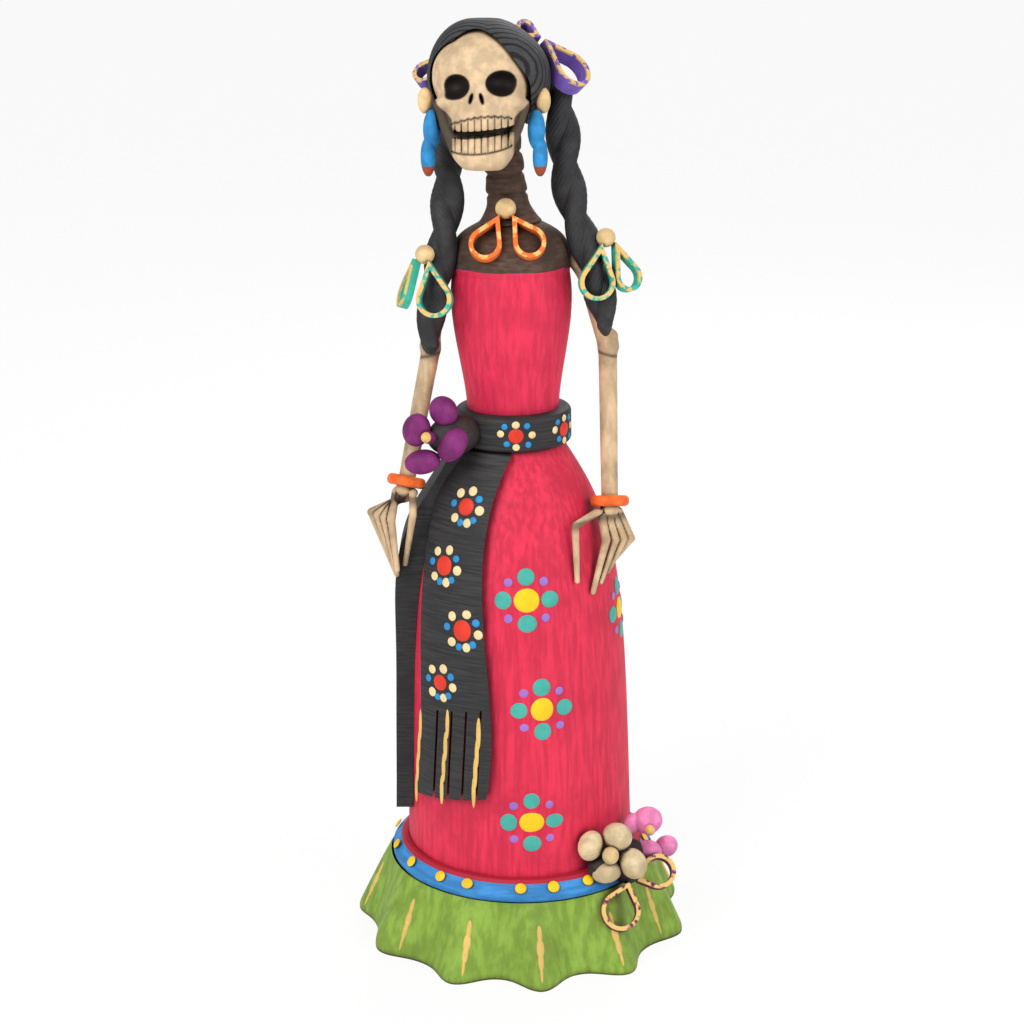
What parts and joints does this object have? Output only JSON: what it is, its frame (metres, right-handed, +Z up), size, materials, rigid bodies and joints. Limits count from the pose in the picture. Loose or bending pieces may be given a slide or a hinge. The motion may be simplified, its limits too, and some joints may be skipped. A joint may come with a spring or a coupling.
{
  "type": "catrina figure",
  "caption": "Standing skeleton lady figure with a hollow bell skirt on a gathered hem, plaited hair, fringed sash, strip bows and petal flowers, free-standing.",
  "frame": {"origin": "middle of the base, on the floor it stands on", "axes": "+Z up, the figure faces -Y, +X is the figure's own left"},
  "size_m": [0.1482, 0.1522, 0.3995],
  "materials": {
    "blue": "matte",
    "bone": "matte",
    "brown": "matte",
    "charcoal": "matte",
    "cream": "matte",
    "drop_blue": "matte",
    "gold": "matte",
    "green": "matte",
    "magenta": "matte",
    "orange": "matte",
    "pink": "matte",
    "purple": "matte",
    "red": "matte",
    "turquoise": "matte",
    "violet": "matte"
  },
  "bodies": {
    "root": {"base_bow_left_loop": "magenta", "base_bow_right_loop": "magenta", "base_flower_pad": "charcoal", "bodice": "red", "chest": "brown", "cream_flower_centre": "cream", "cream_flower_petals": "cream", "hair_cap": "charcoal", "hem_band": "blue", "hem_ruffle": "green", "left_arm": "bone", "left_bracelet": "orange", "left_braid": "charcoal", "left_braid_bow_bead": "gold", "left_braid_bow_inner_loop": "turquoise", "left_braid_bow_outer_loop": "turquoise", "left_ear_bead": "gold", "left_earring_lower_drop": "drop_blue", "left_earring_upper_drop": "drop_blue", "left_fingers": "bone", "left_hair_bow_lower_loop": "violet", "left_hair_bow_upper_loop": "violet", "left_thumb": "bone", "lower_jaw": "bone", "neck": "brown", "pendant_bead": "gold", "pendant_left_loop": "orange", "pendant_right_loop": "orange", "pink_flower_bud": "pink", "pink_flower_petals": "pink", "right_arm": "bone", "right_bracelet": "orange", "right_braid": "charcoal", "right_braid_bow_bead": "gold", "right_braid_bow_inner_loop": "turquoise", "right_braid_bow_outer_loop": "turquoise", "right_ear_bead": "gold", "right_earring_lower_drop": "drop_blue", "right_earring_upper_drop": "drop_blue", "right_fingers": "bone", "right_hair_bow_loop": "violet", "right_thumb": "bone", "sash_front_tail": "charcoal", "sash_side_tail": "charcoal", "skirt_shell": "red", "skull": "bone", "waist_flower_bud": "purple", "waist_flower_pad": "charcoal", "waist_flower_petals": "purple", "waist_sash": "charcoal"}
  },
  "joints": []
}
